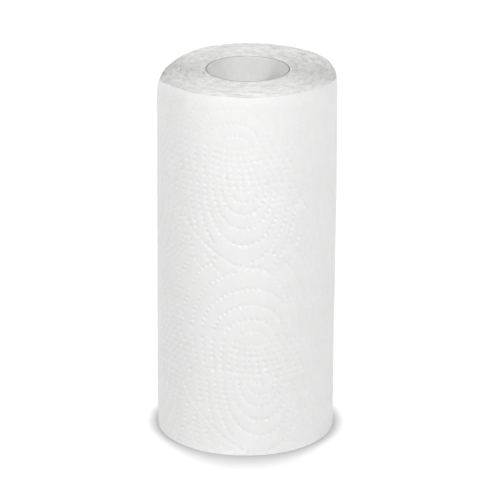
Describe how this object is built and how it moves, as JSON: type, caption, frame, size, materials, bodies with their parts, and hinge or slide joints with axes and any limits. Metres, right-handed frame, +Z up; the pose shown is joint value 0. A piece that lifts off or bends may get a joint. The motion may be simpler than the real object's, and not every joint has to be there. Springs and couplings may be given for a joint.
{
  "type": "paper towel roll",
  "caption": "Upright roll of white embossed paper towel, one web wound in a spiral on a cardboard core that a holder's rod goes through.",
  "frame": {"origin": "on the core's axis at the lower cut end, where the roll stands on the table", "axes": "+Z up along the core's axis, -Y towards the front of the roll, +X to the right seen from the front"},
  "size_m": [0.105, 0.1045, 0.221],
  "materials": {
    "towel_paper": "matt embossed tissue",
    "core_board": "matt grey-white wound board"
  },
  "bodies": {
    "root": {"towel_roll": "towel_paper", "core_tube": "core_board"}
  },
  "joints": []
}
